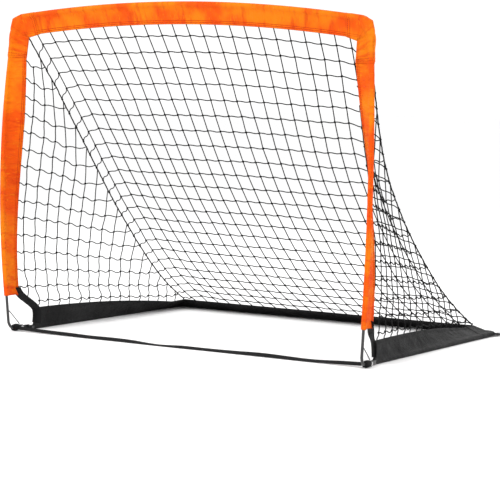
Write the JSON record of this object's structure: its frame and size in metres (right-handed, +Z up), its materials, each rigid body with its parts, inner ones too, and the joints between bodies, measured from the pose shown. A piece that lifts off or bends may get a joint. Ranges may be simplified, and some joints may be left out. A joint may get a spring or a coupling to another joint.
{
  "type": "folding soccer goal",
  "caption": "Folding football goal: an arched mouth frame in orange sleeves, a ground frame in black sleeves, and a black net; the corners hinge so it folds flat",
  "frame": {"origin": "on the ground under the middle of the standing goal", "axes": "+Z up, the mouth faces -Y, +X along the goal's width"},
  "size_m": [1.2012, 0.9562, 0.9522],
  "materials": {
    "orange_fabric": "matte",
    "black_fabric": "matte",
    "net_twine": "matte",
    "black_cord": "matte",
    "stretch_cord": "matte",
    "black_webbing": "matte",
    "bare_steel": "satin",
    "coated_steel": "satin",
    "fibreglass": "satin"
  },
  "bodies": {
    "rear_bar": {"back_net": "net_twine", "left_peg_loop": "black_cord", "left_rear_bracket": "coated_steel", "left_rear_pole": "fibreglass", "left_rear_rivet": "bare_steel", "rear_ferrule": "bare_steel", "rear_sleeve": "black_fabric", "right_peg_loop": "black_cord", "right_rear_bracket": "coated_steel", "right_rear_pole": "fibreglass", "right_rear_rivet": "bare_steel"},
    "left_side": {"left_corner_strap": "black_webbing", "left_foot_bracket": "coated_steel", "left_front_strap": "black_webbing", "left_seam_cord": "black_cord", "left_side_net": "net_twine", "left_side_pole": "fibreglass", "left_side_rear_bracket": "coated_steel", "left_side_sleeve": "black_fabric"},
    "right_side": {"right_corner_strap": "black_webbing", "right_foot_bracket": "coated_steel", "right_front_strap": "black_webbing", "right_seam_cord": "black_cord", "right_side_net": "net_twine", "right_side_pole": "fibreglass", "right_side_rear_bracket": "coated_steel", "right_side_sleeve": "black_fabric"},
    "left_post": {"left_elbow_rod": "coated_steel", "left_foot_rivet": "bare_steel", "left_post_ferrule": "bare_steel", "left_post_pole": "fibreglass", "left_post_sleeve": "orange_fabric", "left_post_top_bracket": "coated_steel", "left_stay_cord": "stretch_cord", "left_strap_loop": "black_webbing", "left_top_rivet": "bare_steel"},
    "right_post": {"right_elbow_rod": "coated_steel", "right_foot_rivet": "bare_steel", "right_post_ferrule": "bare_steel", "right_post_pole": "fibreglass", "right_post_sleeve": "orange_fabric", "right_post_top_bracket": "coated_steel", "right_stay_cord": "stretch_cord", "right_strap_loop": "black_webbing", "right_top_rivet": "bare_steel"},
    "crossbar": {"crossbar_ferrule": "bare_steel", "crossbar_left_bracket": "coated_steel", "crossbar_left_corner_cover": "orange_fabric", "crossbar_right_bracket": "coated_steel", "crossbar_right_corner_cover": "orange_fabric", "crossbar_sleeve": "orange_fabric", "left_crossbar_pole": "fibreglass", "right_crossbar_pole": "fibreglass"}
  },
  "joints": [
    {"name": "left_rear_hinge", "type": "hinge", "parent": "rear_bar", "child": "left_side", "pos_m": [-0.575, 0.449, 0.0073], "axis": [0, 0, 1], "range_deg": [0, 41.3], "deforming": ["back_net", "left_corner_strap", "left_front_strap", "left_seam_cord", "left_side_net"]},
    {"name": "right_rear_hinge", "type": "hinge", "parent": "rear_bar", "child": "right_side", "pos_m": [0.575, 0.449, 0.0073], "axis": [0, 0, -1], "range_deg": [0, 41.3], "deforming": ["right_corner_strap", "right_front_strap", "right_seam_cord", "right_side_net"]},
    {"name": "left_foot_hinge", "type": "hinge", "parent": "left_side", "child": "left_post", "pos_m": [-0.5743, -0.399, 0.009], "axis": [-1, 0, 0], "range_deg": [0, 90]},
    {"name": "right_foot_hinge", "type": "hinge", "parent": "right_side", "child": "right_post", "pos_m": [0.5743, -0.399, 0.009], "axis": [-1, 0, 0], "range_deg": [0, 90]},
    {"name": "left_top_hinge", "type": "hinge", "parent": "left_post", "child": "crossbar", "pos_m": [-0.575, -0.455, 0.857], "axis": [0, 1, 0], "range_deg": [0, 41.3], "deforming": ["crossbar_left_corner_cover", "crossbar_right_corner_cover"]}
  ],
  "couplings": [
    {"joint": "right_foot_hinge", "follows": "left_foot_hinge", "ratio": 1},
    {"joint": "left_rear_hinge", "follows": "left_foot_hinge", "ratio": 0.4588},
    {"joint": "right_rear_hinge", "follows": "left_foot_hinge", "ratio": 0.4588},
    {"joint": "left_top_hinge", "follows": "left_foot_hinge", "ratio": 0.4588}
  ]
}
